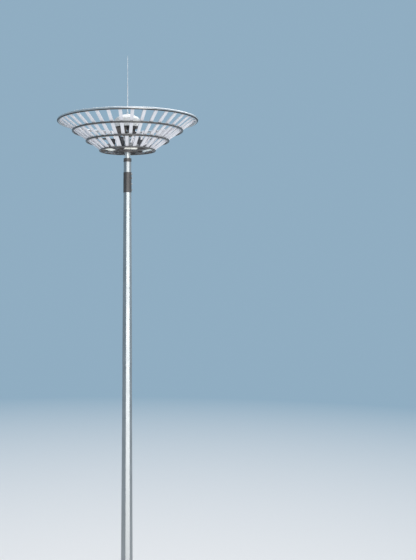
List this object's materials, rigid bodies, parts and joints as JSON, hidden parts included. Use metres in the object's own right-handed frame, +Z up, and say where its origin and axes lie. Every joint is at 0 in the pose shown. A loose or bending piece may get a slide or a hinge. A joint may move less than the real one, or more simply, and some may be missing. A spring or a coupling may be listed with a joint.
{
  "type": "high mast floodlight tower",
  "caption": "Tall tapered octagonal steel mast with a conical basket crown of hoops and white slats that carries floodlights and is hoisted up to a capped head with a lightning rod.",
  "frame": {"origin": "middle of the underside of the base flange, at ground level", "axes": "+Z up along the mast, -Y towards the front face with the service door"},
  "size_m": [6.095, 6.0946, 32.8077],
  "materials": {
    "mast_paint": "silver grey paint over galvanised steel, satin",
    "dark_paint": "dark grey paint, satin",
    "hoop_metal": "grey metallic, half gloss",
    "slat_white": "white powder coat",
    "cap_white": "white gel coat",
    "galvanised": "galvanised, dull",
    "rod_steel": "stainless, satin",
    "floor_metal": "dark brown grey paint, dull",
    "housing_metal": "grey die casting, powder coated",
    "led_board": "pale board with rows of lamps",
    "lens_glass": "clear",
    "cabinet_paint": "dark grey powder coat",
    "rubber_black": "matte",
    "wire_rope": "stranded stainless rope"
  },
  "bodies": {
    "mast": {"base_flange": "mast_paint", "base_gussets": "mast_paint", "shaft_lower": "mast_paint", "shaft_middle": "mast_paint", "shaft_upper": "mast_paint", "door_frame": "mast_paint", "door_cover": "mast_paint", "door_hinges": "galvanised", "door_lock": "galvanised", "earth_lug": "galvanised", "sleeve_front": "dark_paint", "sleeve_back": "dark_paint", "collar_band": "dark_paint", "neck_plate": "mast_paint", "neck_tube": "mast_paint", "head_frame": "floor_metal", "sheaves": "galvanised", "rope_arcs": "wire_rope", "docking_sockets": "floor_metal", "cap_post": "galvanised", "rain_cap": "cap_white", "rod_base": "rod_steel", "rod_lower": "rod_steel", "rod_upper": "rod_steel", "hoist_ropes": "wire_rope"},
    "crown": {"rim_hoop": "hoop_metal", "hoop_upper": "hoop_metal", "hoop_middle": "hoop_metal", "floor_ring": "hoop_metal", "crown_ribs": "slat_white", "slats_upper": "slat_white", "slats_middle": "slat_white", "slats_lower": "slat_white", "inner_ring": "floor_metal", "floor_spokes": "floor_metal", "floor_plates": "floor_metal", "guide_arms": "galvanised", "guide_rollers": "rubber_black", "docking_posts": "galvanised", "rope_anchors": "galvanised", "floodlight_housings": "housing_metal", "led_panels": "led_board", "floodlight_lenses": "lens_glass", "floodlight_brackets": "galvanised", "driver_cabinets": "cabinet_paint"}
  },
  "joints": [
    {"name": "crown_hoist", "type": "slide", "parent": "mast", "child": "crown", "axis": [0, 0, 1], "range_m": [-26.7, 0], "deforming": ["hoist_ropes"]}
  ]
}
